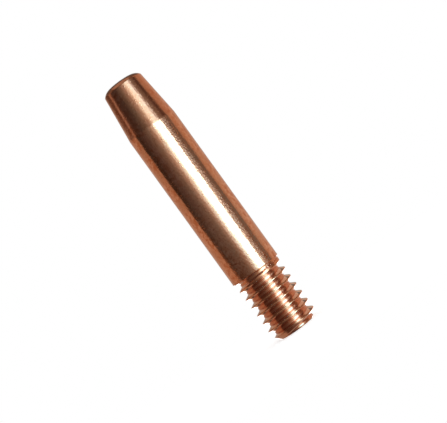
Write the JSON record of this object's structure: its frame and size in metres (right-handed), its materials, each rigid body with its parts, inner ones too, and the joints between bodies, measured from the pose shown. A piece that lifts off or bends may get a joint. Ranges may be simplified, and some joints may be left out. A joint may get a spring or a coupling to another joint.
{
  "type": "welding contact tip",
  "caption": "Copper contact tip with a straight round body, tapered nose, through wire bore and a coarse threaded tail that screws into a wire-feed welding torch.",
  "frame": {"origin": "centre of the threaded end's face, which the tip stands on", "axes": "+Z along the tip's axis, from the threaded end towards the nose"},
  "size_m": [0.0078, 0.0078, 0.0441],
  "materials": {
    "copper": "polished drawn copper, with turning marks on the nose and thread"
  },
  "bodies": {
    "root": {"contact_tip": "copper"}
  },
  "joints": []
}
